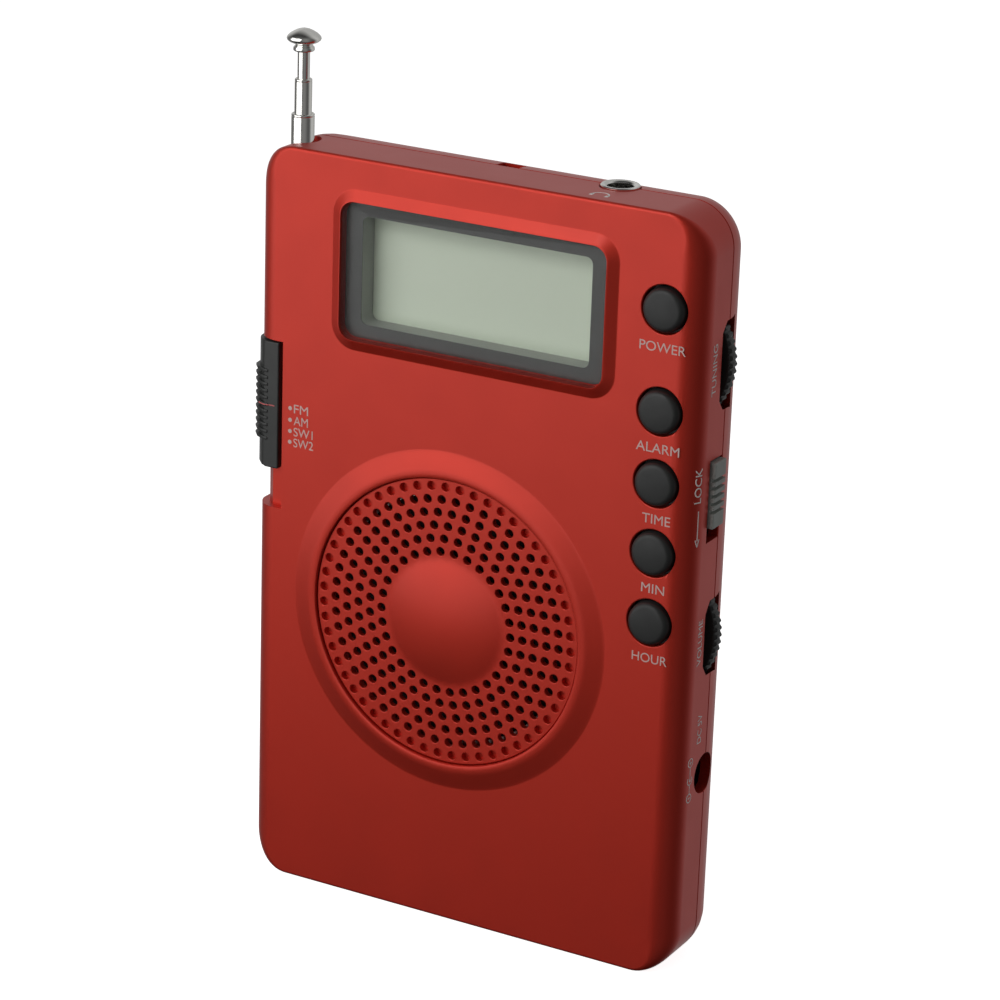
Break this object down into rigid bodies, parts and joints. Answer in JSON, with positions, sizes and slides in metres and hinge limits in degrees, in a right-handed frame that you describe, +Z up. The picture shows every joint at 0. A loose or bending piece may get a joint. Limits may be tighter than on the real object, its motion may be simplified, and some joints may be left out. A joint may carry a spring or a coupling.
{
  "type": "pocket radio",
  "caption": "Hand-held pocket radio with a round perforated speaker grille, clock display, push buttons, edge thumbwheels, sliders, battery bay and telescopic antenna.",
  "frame": {"origin": "middle of the flat base, halfway through the depth of the case", "axes": "+Z up along the height and the antenna, +Y from the front face to the back, +X to the right seen from the front"},
  "size_m": [0.0699, 0.0209, 0.1227],
  "materials": {
    "red_case": "satin metallic red lacquer on moulded plastic",
    "black_rubber": "matt, slightly domed",
    "black_plastic": "satin moulded",
    "grey_plastic": "satin moulded",
    "clear_plastic": "clear moulded acrylic",
    "dark_print": "printed on the back of the lens",
    "display_glass": "grey green liquid-crystal glass",
    "pink_rubber": "layered conductive rubber",
    "circuit_board": "green solder mask",
    "bright_metal": "polished plating",
    "plated_steel": "zinc or tin plated",
    "brass": "turned",
    "paper_cone": "pressed paper",
    "white_plastic": "natural moulded plastic",
    "brown_laminate": "phenolic laminate",
    "ferrite": "sintered ferrite",
    "copper_wire": "enamelled copper winding",
    "component_sleeve": "shrink sleeve",
    "wire_insulation": "soft vinyl",
    "cell_jacket": "printed jacket without lettering"
  },
  "bodies": {
    "case": {"front_case": "red_case", "back_case": "red_case", "speaker_grille": "red_case", "power_inlet": "black_plastic", "headphone_socket": "black_plastic", "integrated_circuits": "black_plastic", "display_well": "grey_plastic", "display_lens": "clear_plastic", "display_mask": "dark_print", "display_panel": "display_glass", "display_connector": "pink_rubber", "main_board": "circuit_board", "key_board": "circuit_board", "antenna_socket": "bright_metal", "inlet_pin": "bright_metal", "speaker_frame": "plated_steel", "speaker_magnet": "plated_steel", "antenna_bracket": "plated_steel", "battery_springs": "plated_steel", "battery_contacts": "plated_steel", "case_screws": "plated_steel", "board_screws": "plated_steel", "key_board_screws": "plated_steel", "key_switches": "plated_steel", "band_switch": "plated_steel", "lock_switch": "plated_steel", "screened_coils": "plated_steel", "crystal": "plated_steel", "speaker_cone": "paper_cone", "tuning_capacitor": "white_plastic", "ferrite_clips": "white_plastic", "volume_control": "brown_laminate", "ferrite_rod": "ferrite", "ferrite_coil": "copper_wire", "electrolytic_capacitors": "component_sleeve", "resistors": "component_sleeve", "speaker_leads": "wire_insulation", "battery_leads": "wire_insulation", "upper_cell": "cell_jacket", "lower_cell": "cell_jacket"},
    "antenna_outer": {"antenna_outer_tube": "bright_metal"},
    "antenna_inner": {"antenna_inner_tube": "bright_metal"},
    "antenna_tip": {"antenna_rod": "bright_metal", "antenna_cap": "bright_metal"},
    "power_key": {"power_button": "black_rubber"},
    "alarm_key": {"alarm_button": "black_rubber"},
    "time_key": {"time_button": "black_rubber"},
    "minute_key": {"minute_button": "black_rubber"},
    "hour_key": {"hour_button": "black_rubber"},
    "band_knob": {"band_slider": "black_plastic"},
    "lock_knob": {"lock_slider": "grey_plastic"},
    "tuning": {"tuning_wheel": "black_plastic", "tuning_shaft": "brass", "tuning_screw": "plated_steel"},
    "volume": {"volume_wheel": "black_plastic", "volume_shaft": "brass", "volume_screw": "plated_steel"},
    "door": {"battery_door": "red_case"}
  },
  "joints": [
    {"name": "power_press", "type": "slide", "parent": "case", "child": "power_key", "axis": [0, 1, 0], "range_m": [0, 0.0005], "stiffness_N_per_m": 1500},
    {"name": "alarm_press", "type": "slide", "parent": "case", "child": "alarm_key", "axis": [0, 1, 0], "range_m": [0, 0.0005], "stiffness_N_per_m": 1500},
    {"name": "time_press", "type": "slide", "parent": "case", "child": "time_key", "axis": [0, 1, 0], "range_m": [0, 0.0005], "stiffness_N_per_m": 1500},
    {"name": "minute_press", "type": "slide", "parent": "case", "child": "minute_key", "axis": [0, 1, 0], "range_m": [0, 0.0005], "stiffness_N_per_m": 1500},
    {"name": "hour_press", "type": "slide", "parent": "case", "child": "hour_key", "axis": [0, 1, 0], "range_m": [0, 0.0005], "stiffness_N_per_m": 1500},
    {"name": "band_slide", "type": "slide", "parent": "case", "child": "band_knob", "axis": [0, 0, 1], "range_m": [-0.00489, 0]},
    {"name": "lock_slide", "type": "slide", "parent": "case", "child": "lock_knob", "axis": [0, 0, 1], "range_m": [-0.0017, 0]},
    {"name": "tuning_turn", "type": "hinge", "parent": "case", "child": "tuning", "pos_m": [0.02505, -0.00135, 0.0862], "axis": [0, 1, 0], "range_deg": [-90, 90]},
    {"name": "volume_turn", "type": "hinge", "parent": "case", "child": "volume", "pos_m": [0.02505, -0.00135, 0.0482], "axis": [0, 1, 0], "range_deg": [-135, 135]},
    {"name": "antenna_outer_slide", "type": "slide", "parent": "case", "child": "antenna_outer", "axis": [0, 0, 1], "range_m": [-0.0044, 0.06]},
    {"name": "antenna_inner_slide", "type": "slide", "parent": "antenna_outer", "child": "antenna_inner", "axis": [0, 0, 1], "range_m": [-0.0048, 0.06]},
    {"name": "antenna_tip_slide", "type": "slide", "parent": "antenna_inner", "child": "antenna_tip", "axis": [0, 0, 1], "range_m": [-0.0037, 0.06]},
    {"name": "door_slide", "type": "slide", "parent": "case", "child": "door", "axis": [0, 0, -1], "range_m": [0, 0.026]}
  ]
}
